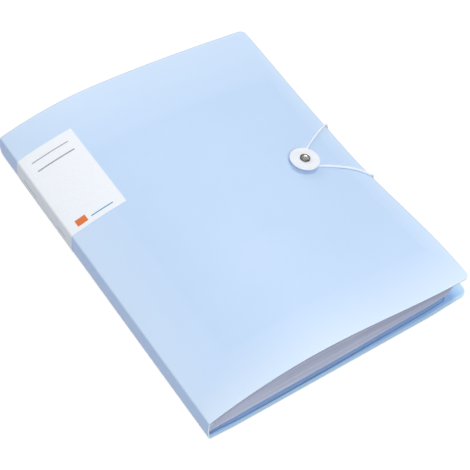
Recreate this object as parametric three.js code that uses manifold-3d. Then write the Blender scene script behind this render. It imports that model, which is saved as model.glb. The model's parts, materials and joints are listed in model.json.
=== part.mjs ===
// A4 display book: a soft plastic cover folded round a spine, clear pockets on a binding strip,
// a paper label round the spine and an elastic loop that hooks under a button on the front cover.
// The book lies closed on its back cover. Millimetres, +Z up, +Y towards the head, +X towards the
// fore edge, origin at the middle of the back cover's underside.
import * as THREE from "three";
import { mergeVertices } from "three/addons/utils/BufferGeometryUtils.js";
import Module from "manifold-3d";

const wasm = await Module();
wasm.setup();

// Cover
const coverHeight = 308; // tail to head
const backWidth = 230; // outside of the spine to the fore edge
const foreDraw = 1.5; // the bulge draws the front cover's fore edge in
const frontWidth = backWidth - foreDraw;
const spineThickness = 21; // outside of the back crease to the top of the front crease
const sheet = 0.8; // polypropylene sheet
const frontCorner = 5; // radius of the front cover's fore-edge corners
const backCorner = 7; // and of the back cover's
const spineBow = 1; // the pockets press the spine out by that much at half its height
const creaseGap = 0.3; // between two panels at their crease
const creaseSpan = creaseGap / 2;
const creasePivot = sheet / 2; // the crease turns about the middle of the sheet

// The back cover bows down to the table from the spine and from its fore edge
const heel = 1.6; // height of the crease
const toe = 3.2; // height of the fore edge
const bowNear = 25; // flat from here
const bowFar = 190; // to here
const spineTop = heel + spineThickness;

// Bulge of the front cover over the pockets, all heights over the crease
const bulgeTail = 15.6; // crest at the tail edge
const bulgeHead = 10.2; // crest at the head edge
const crestTail = 90; // crest's distance from the spine at the tail
const crestHead = 72; // and at the head
const foreEdgeTail = 3.8; // fore edge springs up at the tail corner
const foreEdgeMiddle = -10.5; // and is drawn down by the elastic
const foreEdgeHead = -7.5;
const tailRamp = [16, 160]; // where the fore edge goes down from the tail corner
const headRamp = [200, coverHeight]; // and where it comes up again
const fallMiddle = 1.8; // how the cover falls from its crest to the fore edge
const fallHead = 1.5; // and how at the head

// The elastic lifts the back cover's fore edge a little between its corners
const lift = 1.2;
const liftFrom = 130; // distance from the spine where the lift begins
const liftTo = 215; // and where it is whole
const liftRows = [40, 115, 205, 275]; // rises, holds and falls along the fore edge

// Pockets
const pocketCount = 20;
const film = 0.08; // one wall of a pocket
const slot = 0.08; // between the two walls of an empty pocket
const pocketTail = 4.2; // from the tail edge of the cover
const pocketHeadInset = 2.5; // from its head edge
const pocketHead = coverHeight - pocketHeadInset;
const insetLow = 16.5; // lowest pocket from the fore edge of the back cover
const insetHigh = 7.5; // topmost pocket, those between reach out further step by step
const weldGap = 0.02; // left between the walls at a weld's edge
const stackMargin = 0.03; // share of the space left free under and over the stack
const lowestSlip = 1.2; // the lowest pocket has slipped out that much further at the tail
const clingNear = 1.2; // there the others cling together over it, with that much of a gap near the spine
const clingFar = 4; // and that much more of it towards the fore edge
const clingColumns = [90, 200]; // where the gap widens
const clingRows = [pocketTail, 85]; // and where it closes towards the head
const rootLine = 25; // from here on the pockets follow the covers

// Binding strip with one welded rib for each pocket
const stripGap = 0.3; // strip to spine
const stripThickness = 0.8;
const stripEnd = 1.3; // strip's edges from the outside of the covers
const ribThickness = 0.3;
const ribShortest = 0.5; // outermost pockets
const ribGain = 0.45; // each pocket nearer the middle bends that much further out
const hingeGap = 0.4; // between a rib and its pocket

// Button: place on the front cover, and heights along its own axis from the cover's face
const buttonInset = 40.5; // from the front cover's fore edge
const buttonX = frontWidth - buttonInset;
const buttonY = 158.8;
const buttonPad = 13; // half of the flat patch of the cover under the button
const clearance = 0.25; // between stacked pieces
const collarRadius = 3.6;
const collarHeight = 2.5;
const discRadius = 12.2;
const discThickness = 1.3;
const discEdge = 0.5; // rounding of the disc's rim
const shankRadius = 1.9;
const spinClearance = 0.1; // disc on the rivet's shank
const rivetHeadRadius = 4.2;
const rivetHeadHeight = 0.9;
const rivetDishRadius = 3;
const rivetDishDepth = 0.7;
const washerRadius = 4;
const washerThickness = 0.4;
const clinchRadius = 2.9;
const clinchHeight = 0.4;
const dimple = 2.6; // the pockets give way under the rivet
const dimpleReach = 75;
const dimpleShift = 12; // deepest that much nearer the spine
const dimpleX = buttonX - dimpleShift;

// Elastic loop
const cordRadius = 0.9;
const cordLayer = cordRadius + clearance; // cord's centre line over a surface
const anchorInset = 6.5; // holes in the back cover from its fore edge
const anchorX = backWidth - anchorInset;
const anchorHole = 1.25; // radius
const anchorBend = cordLayer + 0.15; // bend of the cord where it leaves its hole
const edgeWrap = cordLayer + 0.5; // bend of the cord round the back cover's fore edge
const edgeInset = 0.1; // that bend's middle from the edge
// Where the loop's two ends cross the fore edges, and the strands from there to the collar over the
// front cover, all from the button's axis
const hooks = [28.7, -34.2];
const strands = [
  [[38, 28.4], [29.4, 24.5], [20.5, 19.2], [10, 11.2]],
  [[39.2, -31.9], [36.2, -27], [29.4, -20.2], [18, -13.4], [9.1, -9.1]],
];
const stopRadius = 2.1;
const stopHeight = 1.8;
const stopShoulder = 0.7; // share of radius and height at which the stop's top rounds in

// Label round the spine
const labelTail = 193.3;
const labelHead = 279.1;
const labelStart = 1; // front part, from the crease
const labelWidth = 48.5; // on the front cover
const labelThickness = 0.12;
const labelGap = 0.1;

const hookY = hooks.map((y) => buttonY + y);

// Net lines that covers and pockets share, so that their facets lie alike
const rowLines = [45, 85, 122, buttonY - buttonPad, buttonY + buttonPad, 240];
const foreLines = [145, buttonX - buttonPad];
const nearLines = [12, rootLine, 42];
const middleLines = [60, 80, 100, 122];
const pocketLines = [rootLine, middleLines[0], middleLines[2], ...foreLines];
const frontLines = [...nearLines, ...middleLines, ...foreLines, buttonX + buttonPad];
const toeInset = 12; // last line before the back cover's corners
const backLines = [
  ...nearLines,
  middleLines[0],
  liftFrom,
  ...foreLines,
  bowFar,
  backWidth - toeInset,
];

// Facets
const cornerCut = [0, 30, 60, 90]; // degrees round a fore-edge corner
const discSides = 40;
const roundSides = 24;
const smallSides = 16;
const cordSides = 8;
const bendSteps = 3;
const bowSteps = 6;
const collarSteps = 8;
const drillLength = 20;

const materials = {
  cover: [0xc3dbfa, 0.5, 0],
  film: [0xdfe8f2, 0.25, 0],
  strip: [0xd9e4f0, 0.45, 0],
  label: [0xedf1f8, 0.7, 0],
  button: [0xf3f6fa, 0.35, 0],
  rivet: [0xb9b7b0, 0.3, 1],
  elastic: [0xf4f6fa, 0.8, 0],
};

const book = new THREE.Group();
book.position.set(-backWidth / 2, -coverHeight / 2, 0);

function add(name, geometry, look, parent = book) {
  const [color, roughness, metalness] = materials[look];
  const material = new THREE.MeshStandardMaterial({ color, roughness, metalness });
  const mesh = new THREE.Mesh(geometry, material);
  mesh.name = name;
  parent.add(mesh);
}

// Surfaces

function mix(a, b, t) {
  return a + (b - a) * t;
}

// 0 before a, 1 after b, smooth between.
function ramp(x, a, b) {
  return THREE.MathUtils.smoothstep(x, a, b);
}

// Height of the front cover's outer face.
function frontTop(x, y) {
  const along = y / coverHeight;
  const crest = mix(crestTail, crestHead, along);
  const bulge = mix(bulgeTail, bulgeHead, along);
  if (x <= crest) return spineTop + bulge * (1 - (1 - x / crest) ** 2);
  const tail = 1 - ramp(y, ...tailRamp);
  const head = ramp(y, ...headRamp);
  const edge =
    foreEdgeMiddle + (foreEdgeTail - foreEdgeMiddle) * tail + (foreEdgeHead - foreEdgeMiddle) * head;
  const t = (x - crest) / (frontWidth - crest);
  const fall = mix(t ** mix(fallMiddle, fallHead, head), Math.sin((Math.PI / 2) * t) ** 2, tail);
  return spineTop + mix(bulge, edge, fall);
}

// Height of the back cover's outer face.
function backBottom(x, y) {
  const [a, b, c, d] = liftRows;
  const bow = heel * (1 - ramp(x, 0, bowNear)) + toe * ramp(x, bowFar, backWidth);
  return bow + lift * ramp(x, liftFrom, liftTo) * ramp(y, a, b) * (1 - ramp(y, c, d));
}

// How far the stack is pressed down under the rivet.
function pressed(x, y) {
  const across = Math.min(1, Math.abs(x - dimpleX) / dimpleReach);
  const along = Math.min(1, Math.abs(y - buttonY) / dimpleReach);
  return dimple * (Math.cos((Math.PI / 2) * across) * Math.cos((Math.PI / 2) * along)) ** 2;
}

// Share of the space between the covers at which a pocket lies.
function pocketShare(i) {
  return mix(stackMargin, 1 - stackMargin, (i + 0.5) / pocketCount);
}

function pocketRootZ(i) {
  return mix(heel + sheet, spineTop - sheet, pocketShare(i));
}

// Gap at the tail between the lowest pocket and the next one.
function clingGap(x, y) {
  return (clingNear + clingFar * ramp(x, ...clingColumns)) * (1 - ramp(y, ...clingRows));
}

// Middle of a pocket: level at its root, then between the two covers.
function pocketMiddle(i, x, y) {
  if (x < rootLine) return pocketRootZ(i);
  const low = backBottom(x, y) + sheet + (i === 0 ? 0 : clingGap(x, y));
  const high = frontTop(x, y) - sheet - pressed(x, y);
  return mix(low, high, pocketShare(i));
}

// Solids

// A closed plate over a net: columns hold x for the lower and upper face, rowsAt gives y at an x.
function plate(columns, rowsAt, lower, upper) {
  const position = [];
  const index = [];
  const rows = rowsAt(columns[0][0]).length;
  for (const [face, height] of [lower, upper].entries())
    for (const column of columns)
      for (const y of rowsAt(column[face])) position.push(column[face], y, height(column[face], y));
  const at = (face, i, j) => (face * columns.length + i) * rows + j;
  const quad = (a, b, c, d) => index.push(a, b, c, a, c, d);
  for (let i = 0; i + 1 < columns.length; i++)
    for (let j = 0; j + 1 < rows; j++) {
      quad(at(1, i, j), at(1, i + 1, j), at(1, i + 1, j + 1), at(1, i, j + 1));
      index.push(at(0, i, j), at(0, i + 1, j + 1), at(0, i + 1, j));
      index.push(at(0, i, j), at(0, i, j + 1), at(0, i + 1, j + 1));
    }
  const last = columns.length - 1;
  for (let j = 0; j + 1 < rows; j++) {
    quad(at(0, 0, j + 1), at(0, 0, j), at(1, 0, j), at(1, 0, j + 1));
    quad(at(0, last, j), at(0, last, j + 1), at(1, last, j + 1), at(1, last, j));
  }
  for (let i = 0; i < last; i++) {
    quad(at(0, i, 0), at(0, i + 1, 0), at(1, i + 1, 0), at(1, i, 0));
    quad(at(0, i + 1, rows - 1), at(0, i, rows - 1), at(1, i, rows - 1), at(1, i + 1, rows - 1));
  }
  const geometry = new THREE.BufferGeometry();
  geometry.setAttribute("position", new THREE.Float32BufferAttribute(position, 3));
  geometry.setIndex(index);
  return geometry;
}

function solidOf(geometry) {
  const bare = geometry.clone();
  bare.deleteAttribute("normal");
  bare.deleteAttribute("uv");
  const merged = mergeVertices(bare, 1e-4);
  return new wasm.Manifold(
    new wasm.Mesh({
      numProp: 3,
      vertProperties: merged.attributes.position.array,
      triVerts: new Uint32Array(merged.index.array),
    }),
  );
}

function cut(geometry, ...tools) {
  const result = tools.reduce((solid, tool) => solid.subtract(solidOf(tool)), solidOf(geometry));
  const mesh = result.getMesh();
  const out = new THREE.BufferGeometry();
  out.setAttribute("position", new THREE.BufferAttribute(mesh.vertProperties, 3));
  out.setIndex(new THREE.BufferAttribute(mesh.triVerts, 1));
  return out;
}

// A ring or disc turned about its own Z axis from a closed profile of radius and height.
function turned(profile, sides) {
  const points = [...profile, profile[0]].map(([r, z]) => new THREE.Vector2(r, z));
  const geometry = new THREE.LatheGeometry(points, sides);
  geometry.rotateX(Math.PI / 2);
  return geometry;
}

// Profile in x and z, drawn along +Y.
function drawn(profile, from, to) {
  const shape = new THREE.Shape(profile.map(([x, z]) => new THREE.Vector2(x, z)));
  const geometry = new THREE.ExtrudeGeometry(shape, { depth: to - from, bevelEnabled: false });
  geometry.rotateX(Math.PI / 2);
  geometry.translate(0, to, 0);
  return geometry;
}

// Columns and rows of a cover with rounded fore-edge corners. At the crease the sheet is mitred
// on its inner side, so that the fold clears it. The inner face is 0 for lower and 1 for upper.
function coverColumns(width, corner, lines, innerFace) {
  const outer = creasePivot + creaseSpan;
  const inner = outer + sheet - creasePivot;
  const first = innerFace === 0 ? [inner, outer] : [outer, inner];
  const round = cornerCut.map((angle) => {
    return width - corner * (1 - Math.sin(THREE.MathUtils.degToRad(angle)));
  });
  return [first, ...[...lines, ...round].map((x) => [x, x])];
}

function coverRows(width, corner) {
  return (x) => {
    const into = Math.max(0, x - (width - corner));
    const inset = corner - Math.sqrt(Math.max(0, corner ** 2 - into ** 2));
    return [inset, ...rowLines, coverHeight - inset];
  };
}

// Height of a cover's facets, for the pieces that lie against them.
function facets(surface, xs) {
  const ys = [0, ...rowLines, coverHeight];
  return (x, y) => {
    const i = Math.min(xs.findLastIndex((v) => v <= x), xs.length - 2);
    const j = Math.min(ys.findLastIndex((v) => v <= y), ys.length - 2);
    const u = (x - xs[i]) / (xs[i + 1] - xs[i]);
    const v = (y - ys[j]) / (ys[j + 1] - ys[j]);
    const near = surface(xs[i], ys[j]);
    const far = surface(xs[i + 1], ys[j + 1]);
    const side = u > v ? surface(xs[i + 1], ys[j]) : surface(xs[i], ys[j + 1]);
    const [first, second] = u > v ? [u, v] : [v, u];
    return near + first * (side - near) + second * (far - side);
  };
}

const frontFacet = facets(
  frontTop,
  coverColumns(frontWidth, frontCorner, frontLines, 0).map((column) => column[1]),
);
const backFacet = facets(
  backBottom,
  coverColumns(backWidth, backCorner, backLines, 1).map((column) => column[0]),
);

// Normal of the front cover over a patch that reaches so far each way.
function frontNormal(x, y, reach) {
  const slopeX = (frontFacet(x + reach, y) - frontFacet(x - reach, y)) / (2 * reach);
  const slopeY = (frontFacet(x, y + reach) - frontFacet(x, y - reach)) / (2 * reach);
  return new THREE.Vector3(-slopeX, -slopeY, 1).normalize();
}

// The button stands square on the cover.
function buttonFrame() {
  const frame = new THREE.Group();
  const up = new THREE.Vector3(0, 0, 1);
  frame.position.set(buttonX, buttonY, frontFacet(buttonX, buttonY));
  frame.quaternion.setFromUnitVectors(up, frontNormal(buttonX, buttonY, collarRadius));
  frame.updateMatrix();
  return frame;
}

const button = buttonFrame();

function backCover() {
  const inner = (x, y) => backBottom(x, y) + sheet;
  const columns = coverColumns(backWidth, backCorner, backLines, 1);
  const panel = plate(columns, coverRows(backWidth, backCorner), backBottom, inner);
  const drills = hookY.map((y) => {
    const drill = new THREE.CylinderGeometry(anchorHole, anchorHole, drillLength, smallSides);
    return drill.rotateX(Math.PI / 2).translate(anchorX, y, 0);
  });
  add("back_cover", cut(panel, ...drills), "cover");
}

function frontCover() {
  const inner = (x, y) => frontTop(x, y) - sheet;
  const columns = coverColumns(frontWidth, frontCorner, frontLines, 0);
  const panel = plate(columns, coverRows(frontWidth, frontCorner), inner, frontTop);
  const bore = shankRadius + clearance;
  const drill = new THREE.CylinderGeometry(bore, bore, drillLength, roundSides);
  drill.rotateX(Math.PI / 2).applyMatrix4(button.matrix);
  add("front_cover", cut(panel, drill), "cover");
}

// The bowed spine from one height to another, as points in x and z, so far out from its outer face.
function spineCurve(from, to, out) {
  return Array.from({ length: bowSteps + 1 }, (_, k) => {
    const z = mix(from, to, k / bowSteps);
    const t = (z - heel) / spineThickness;
    return [-spineBow * (1 - (2 * t - 1) ** 2) - out, z];
  });
}

function spinePanel() {
  const outer = creasePivot + creaseSpan;
  const inner = outer + sheet - creasePivot;
  const profile = [
    ...spineCurve(heel + outer, spineTop - outer, 0),
    [creasePivot, spineTop - outer],
    ...spineCurve(heel + inner, spineTop - inner, -sheet).reverse(),
    [creasePivot, heel + outer],
  ];
  add("spine_panel", drawn(profile, 0, coverHeight), "cover");
}

const stripBack = sheet + stripGap;
const stripFace = stripBack + stripThickness;

// End of a pocket's rib: the ribs are longest in the middle of the stack.
function ribEnd(i) {
  return stripFace + ribShortest + ribGain * Math.min(i, pocketCount - 1 - i);
}

function bindingStrip() {
  const profile = [
    [stripBack, heel + stripEnd],
    [stripFace, heel + stripEnd],
  ];
  for (let i = 0; i < pocketCount; i++) {
    const low = pocketRootZ(i) - ribThickness / 2;
    const high = pocketRootZ(i) + ribThickness / 2;
    profile.push([stripFace, low], [ribEnd(i), low], [ribEnd(i), high], [stripFace, high]);
  }
  profile.push([stripFace, spineTop - stripEnd], [stripBack, spineTop - stripEnd]);
  add("binding_strip", drawn(profile, pocketTail, pocketHead), "strip");
}

// One pocket: a front film over a back film. Their walls come together towards the tail and the
// fore edge, where they are welded, and the head is open.
function pocket(i) {
  const name = "pocket_" + String(i + 1).padStart(2, "0");
  const pocketEdge = backWidth - mix(insetLow, insetHigh, i / (pocketCount - 1));
  const tail = pocketTail - (i === 0 ? lowestSlip : 0);
  const columns = [ribEnd(i) + hingeGap, ...pocketLines, pocketEdge].map((x) => [x, x]);
  const rowsAt = () => [tail, ...rowLines, pocketHead];
  const middle = (x, y) => pocketMiddle(i, x, y);
  const under = (x, y) => middle(x, y) + slot / 2;
  const over = (x, y) => under(x, y) + film;
  add(name + "_front_film", plate(columns, rowsAt, under, over), "film");

  const weld = (x, y) => (x === pocketEdge || y === tail ? slot - weldGap : 0);
  const bottom = (x, y) => middle(x, y) - slot / 2 - film;
  const top = (x, y) => middle(x, y) - slot / 2 + weld(x, y);
  add(name + "_back_film", plate(columns, rowsAt, bottom, top), "film");
}

function label() {
  const low = (x, y) => frontTop(x, y) + labelGap;
  const high = (x, y) => frontTop(x, y) + labelGap + labelThickness;
  const columns = [labelStart, ...nearLines, labelWidth].map((x) => [x, x]);
  const rows = [labelTail, rowLines.at(-1), labelHead];
  add("label_front", plate(columns, () => rows, low, high), "label");
  const profile = [
    ...spineCurve(heel + sheet, spineTop - sheet, labelGap + labelThickness),
    ...spineCurve(heel + sheet, spineTop - sheet, labelGap).reverse(),
  ];
  add("label_spine", drawn(profile, labelTail, labelHead), "label");
}

// Heights along the button's axis, from the cover's outer face.
const collarLow = clearance;
const discLow = collarLow + collarHeight + clearance;
const headLow = discLow + discThickness + clearance;
const washerHigh = -sheet - clearance;
const clinchHigh = washerHigh - washerThickness - clearance;

function buttonPieces() {
  const bore = shankRadius + clearance;
  const collar = [
    [bore, collarLow],
    [collarRadius, collarLow],
    [collarRadius, collarLow + collarHeight],
    [bore, collarLow + collarHeight],
  ];
  add("button_collar", turned(collar, roundSides), "button", button);

  const discBore = shankRadius + spinClearance;
  const discHigh = discLow + discThickness;
  const disc = [
    [discBore, discLow],
    [discRadius - discEdge, discLow],
    [discRadius, discLow + discEdge],
    [discRadius, discHigh - discEdge],
    [discRadius - discEdge, discHigh],
    [discBore, discHigh],
  ];
  add("button_disc", turned(disc, discSides), "button", button);

  const headHigh = headLow + rivetHeadHeight;
  const clinchLow = clinchHigh - clinchHeight;
  const rivet = [
    [0, clinchLow],
    [clinchRadius, clinchLow],
    [clinchRadius, clinchHigh],
    [shankRadius, clinchHigh],
    [shankRadius, headLow],
    [rivetHeadRadius, headLow],
    [rivetHeadRadius, headLow + rivetHeadHeight / 3],
    [(rivetHeadRadius + rivetDishRadius) / 2, headHigh],
    [rivetDishRadius, headHigh - rivetDishDepth / 3],
    [rivetDishRadius / 2, headHigh - rivetDishDepth],
    [0, headHigh - rivetDishDepth],
  ];
  add("rivet", turned(rivet, roundSides), "rivet", button);

  const washer = [
    [bore, washerHigh - washerThickness],
    [washerRadius, washerHigh - washerThickness],
    [washerRadius, washerHigh],
    [bore, washerHigh],
  ];
  add("rivet_washer", turned(washer, roundSides), "rivet", button);
}

// A curve that spends its steps evenly between its points, so that tight bends get short steps.
class RoutedCurve extends THREE.CatmullRomCurve3 {
  getPointAt(u, target) {
    return this.getPoint(u, target);
  }
  getTangentAt(u, target) {
    return this.getTangent(u, target);
  }
}

// Points of a bend in x and z at one y, between two angles in degrees.
function arc([x, z], radius, from, to, y) {
  return Array.from({ length: bendSteps + 1 }, (_, k) => {
    const a = THREE.MathUtils.degToRad(mix(from, to, k / bendSteps));
    return new THREE.Vector3(x + radius * Math.cos(a), y, z + radius * Math.sin(a));
  });
}

// The cord's middle where it lies on the front cover, so far from the button's axis.
function onCover(fromButtonX, fromButtonY) {
  const x = buttonX + fromButtonX;
  const y = buttonY + fromButtonY;
  const reach = Math.min(cordRadius, frontWidth - x);
  const place = new THREE.Vector3(x, y, frontFacet(x, y));
  return place.addScaledVector(frontNormal(x, y, reach), cordLayer);
}

// From the stop inside the back cover out of its hole, round the back cover's fore edge and over
// the front cover's. side is 0 towards the head and 1 towards the tail.
function cordEnd(side) {
  const y = hookY[side];
  const under = backFacet(anchorX, y);
  const edge = frontFacet(frontWidth, y);
  const slope = (edge - frontFacet(frontWidth - cordRadius, y)) / cordRadius;
  const square = 90 + THREE.MathUtils.radToDeg(Math.atan(slope));
  return [
    new THREE.Vector3(anchorX, y, under + sheet),
    ...arc([anchorX + anchorBend, under + anchorBend - cordLayer], anchorBend, 180, 270, y),
    ...arc([backWidth - edgeInset, under + edgeWrap - cordLayer], edgeWrap, -90, 0, y),
    ...arc([frontWidth, edge - sheet / 2], cordLayer + sheet / 2, 0, square, y),
  ];
}

// The whole loop: one end, the strand over the cover, round the collar, and back.
function cordRoute() {
  const turnRadius = collarRadius + cordLayer;
  const onCircle = (a) => [turnRadius * Math.cos(a), turnRadius * Math.sin(a)];
  const leave = strands.map((strand, side) => {
    const [x, y] = strand.at(-1);
    const open = Math.acos(turnRadius / Math.hypot(x, y));
    return Math.atan2(y, x) + (side === 0 ? open : -open);
  });
  const [head, tail] = strands.map((strand, side) => {
    return [...cordEnd(side), ...strand.map((point) => onCover(...point))];
  });
  const round = Array.from({ length: collarSteps + 1 }, (_, k) => {
    return onCover(...onCircle(mix(leave[0], leave[1] + 2 * Math.PI, k / collarSteps)));
  });
  return [...head, ...round, ...tail.reverse()];
}

function elastic() {
  const route = new RoutedCurve(cordRoute(), false, "centripetal");
  const section = new THREE.Shape(
    Array.from({ length: cordSides }, (_, k) => {
      const a = (2 * Math.PI * k) / cordSides;
      return new THREE.Vector2(cordRadius * Math.cos(a), cordRadius * Math.sin(a));
    }),
  );
  const steps = route.points.length - 1;
  const cord = new THREE.ExtrudeGeometry(section, { extrudePath: route, steps, bevelEnabled: false });
  add("elastic_cord", cord, "elastic");

  for (const [side, name] of ["elastic_stop_head", "elastic_stop_tail"].entries()) {
    const low = backFacet(anchorX, hookY[side]) + sheet + clearance;
    const profile = [
      [0, low],
      [stopRadius, low],
      [stopRadius, low + stopHeight * stopShoulder],
      [stopRadius * stopShoulder, low + stopHeight],
      [0, low + stopHeight],
    ];
    add(name, turned(profile, smallSides).translate(anchorX, hookY[side], 0), "elastic");
  }
}

backCover();
frontCover();
spinePanel();
bindingStrip();
for (let i = 0; i < pocketCount; i++) pocket(i);
label();
book.add(button);
buttonPieces();
elastic();

export default book;
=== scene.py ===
import json
import math

import bmesh
import bpy
import numpy as np
from mathutils import Matrix, Vector


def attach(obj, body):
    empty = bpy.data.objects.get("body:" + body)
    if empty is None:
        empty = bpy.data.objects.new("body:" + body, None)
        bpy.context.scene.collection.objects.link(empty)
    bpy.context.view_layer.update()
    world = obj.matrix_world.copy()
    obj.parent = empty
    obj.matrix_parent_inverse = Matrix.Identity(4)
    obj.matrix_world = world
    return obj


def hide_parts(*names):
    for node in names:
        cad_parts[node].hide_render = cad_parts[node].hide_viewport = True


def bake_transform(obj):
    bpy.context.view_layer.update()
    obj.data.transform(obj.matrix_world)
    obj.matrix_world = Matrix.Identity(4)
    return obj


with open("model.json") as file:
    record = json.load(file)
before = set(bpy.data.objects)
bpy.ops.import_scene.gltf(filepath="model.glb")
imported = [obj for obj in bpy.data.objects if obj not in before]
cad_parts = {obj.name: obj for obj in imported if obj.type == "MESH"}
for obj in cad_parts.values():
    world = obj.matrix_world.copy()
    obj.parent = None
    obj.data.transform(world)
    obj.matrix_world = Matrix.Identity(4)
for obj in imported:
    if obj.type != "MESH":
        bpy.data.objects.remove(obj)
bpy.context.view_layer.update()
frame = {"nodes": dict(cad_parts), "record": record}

# Cover
HEIGHT = 308.0
BACK_WIDTH = 230.0
FRONT_WIDTH = 228.5
SPINE = 21.0
HEEL, TOE = 1.6, 3.2  # the back cover bows down that far from the spine and from its fore edge
BOW_NEAR, BOW_FAR = 25.0, 190.0  # between these two x it is flat
SPINE_TOP = HEEL + SPINE
SPINE_BOW = 1.0  # the pockets press the spine out by that much at half its height
SHEET = 0.8
CUT_PAINTED_LIGHT_SHARE = 0.45  # share of a cut edge's thickness, from its outer face, that is painted bright as if light got into it
FRONT_CORNER, BACK_CORNER = 5.0, 7.0
CREASE = 1.3  # outer radius of the two creases
JOINT = 5.6  # height on the spine at which the back piece meets the front piece

# Bulge of the front cover, as in the part
BULGE = (15.6, 10.2)
CREST = (90.0, 72.0)
EDGE_TAIL, EDGE_MIDDLE, EDGE_HEAD = 3.8, -10.5, -7.5
TAIL_RAMP = (16.0, 160.0)
HEAD_RAMP = (200.0, 308.0)
FALL_MIDDLE, FALL_HEAD = 1.8, 1.5
LIFT = 1.2
LIFT_X = (130.0, 215.0)
LIFT_ROWS = (40.0, 115.0, 205.0, 275.0)

# Rows and columns of the covers' nets of points
ROUND_ROWS = 12.0  # the rows so near to tail and head are drawn in round the corners
END_ROWS = np.array((0.0, 1.5, 3.0, 6.0, 9.0))
MIDDLE_ROWS = np.linspace(ROUND_ROWS, HEIGHT - ROUND_ROWS, 56)
ROWS = np.concatenate([END_ROWS, MIDDLE_ROWS, HEIGHT - END_ROWS[::-1]])
COLUMNS = 56
SPINE_ROWS, CREASE_ROWS = 13, 9
CORNER_TURN = np.radians(np.arange(0, 91, 9))

# Painted light, as if light got into the cover's edges: how far from them it reaches, and where it
# fades on the inner face
GLOW_TAIL, GLOW_HEAD, GLOW_FORE = 40.0, 60.0, 14.0
GLOW_CREASE = (230.0, 190.0)  # painted light near the spine crease, where the slope gets less light; measured from the fore edge
GLOW_FADE = 1.3  # how fast it fades from the tail, as a power
GLOW_WEAK = 0.5  # its strength at the other edges; at the tail it is 1
GLOW_SHARE = 0.88  # the rest of the outer face's tone comes from its clouds
# width of the painted shade along the cover's fore edge and head
PAINTED_RIM_WIDTH = 0.7
INNER_HEAD, INNER_TAIL, INNER_FORE = (3.6, 2.4), (1.6, 3.2), (12.0, 2.0)

# Pockets
POCKETS = 20
FILM = 0.07  # a film's middle from the pocket's middle
WELD = 0.012  # the same where the films are welded
WELD_WIDTH = 2.5
# width of the painted line of shade at the tail of the lowest pocket's weld
WELD_EDGE = 0.8
OPENS_FORE, OPENS_TAIL = 0.5, 0.9  # the films begin to part that far from fore edge and tail
FILM_DEPTH_SHADE = 0.5  # share of the films' tone that comes from their place in the stack: painted shade, darker in the high pockets
FILM_FORE_SHADE = 0.12  # painted shade: how much darker they get between these distances from the fore edge
FILM_FORE_SHADE_X = (90.0, 10.0)
NET_STEP = 1000.0  # the pockets' nets lie that far apart, so that no two are clouded alike
POCKET_TAIL, POCKET_HEAD = 4.2, 305.5
TAIL_ROWS = np.array((0.0, 0.7, 1.7, WELD_WIDTH, 4.0))
POCKET_ROWS = np.concatenate([POCKET_TAIL + TAIL_ROWS, np.linspace(11, 302, 44), [POCKET_HEAD]])
POCKET_EDGES = (213.5, 222.5)  # lowest and topmost
ROOT_COLUMNS = np.array((0.0, 0.2, 0.5, 1.2, 3.0))  # from the end of its rib
FORE_COLUMNS = np.array((WELD_WIDTH, 1.4, 0.0))  # from its fore edge
STACK_MARGIN = 0.03
LOWEST_SLIP = 1.2  # the lowest pocket has slipped out that much further at the tail
LOWEST_MORE = 0.9  # and that much more near the spine, and as much less near the fore edge
LOWEST_MORE_X = (70.0, 200.0)
LOWEST_OVER = 0.45  # its height at the tail over the back cover
LOWEST_CORNER = 5.0
CLING_NEAR, CLING_FAR = 1.2, 4.0  # gap there between it and the others, and how much wider it gets
CLING_COLUMNS, CLING_ROWS = (90.0, 200.0), (4.2, 85.0)
SEED = 7
TAIL_UNEVEN, HEAD_UNEVEN = 0.5, 0.5  # most that a pocket's tail and head stand in
TAIL_FOLLOW = 0.7  # share of that by which the next row moves with the tail
RAGGED, RAGGED_TURN = 0.12, 31.0  # height of the waves in its tail, and their mm per radian
WAVE = 0.07  # height of the waves in a pocket, as a share of its distance from the next one
SLANTED_TURN, ALONG_TURN, ACROSS_TURN = (23.0, 61.0), 17.0, 9.0  # their mm per radian
AWAY_X = 30.0  # from there on a pocket's height doesn't depend on its rib
STRIP_FACE = 1.9
RIB_SHORTEST, RIB_STEP, RIB_HALF = 0.5, 0.45, 0.15
RIB_CLEAR = 0.04  # between a rib and each film of its pocket
DIMPLE, DIMPLE_REACH, DIMPLE_X = 2.6, 75.0, 176.0

# Button, heights along its own axis
BUTTON_X, BUTTON_Y = 188.0, 158.8
COLLAR_LOW, COLLAR_HIGH, COLLAR_RADIUS, COLLAR_SOFT = 0.25, 2.75, 3.6, 0.25
DISC_LOW, DISC_HIGH, DISC_RADIUS, DISC_BORE = 3.0, 4.3, 12.2, 2.0
DISC_ROUND = 0.55  # radius of its outer edges
# Its upper side, as radii and depths below its rim: the face is sunk, and the bore has a low collar
DISC_FACE = (
    (DISC_RADIUS - 1.1, 0.02), (DISC_RADIUS - 1.6, 0.09), (8.5, 0.09), (5.6, 0.09),
    (5.2, 0.06), (4.9, 0.0), (4.4, 0.0), (DISC_BORE, 0.05),
)
HEAD_LOW, HEAD_HIGH, HEAD_RADIUS = 4.55, 5.45, 4.2
HEAD_SOFT, HEAD_ROUND = 0.3, 0.55  # radii of its lower and its upper edge
# The rivet head's upper side, in the same way: the lip of its rim, and its hollow
HEAD_LIP = ((3.4, 0.05), (3.2, 0.2))
HEAD_DISH = ((3.05, 0.36), (2.7, 0.52), (2.1, 0.63), (1.2, 0.68), (0.5, 0.7), (0, 0.7))
FLANGE_LOW, FLANGE_RADIUS, FLANGE_SOFT = -1.85, 2.9, 0.25
FLANGE_SHOULDER = (2.75, -1.5)
BACKING_LOW, BACKING_HIGH, BACKING_RADIUS, BACKING_SOFT = -1.45, -1.05, 4.0, 0.12
SHANK = 1.9
SHANK_BORE = SHANK + 0.25

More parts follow.
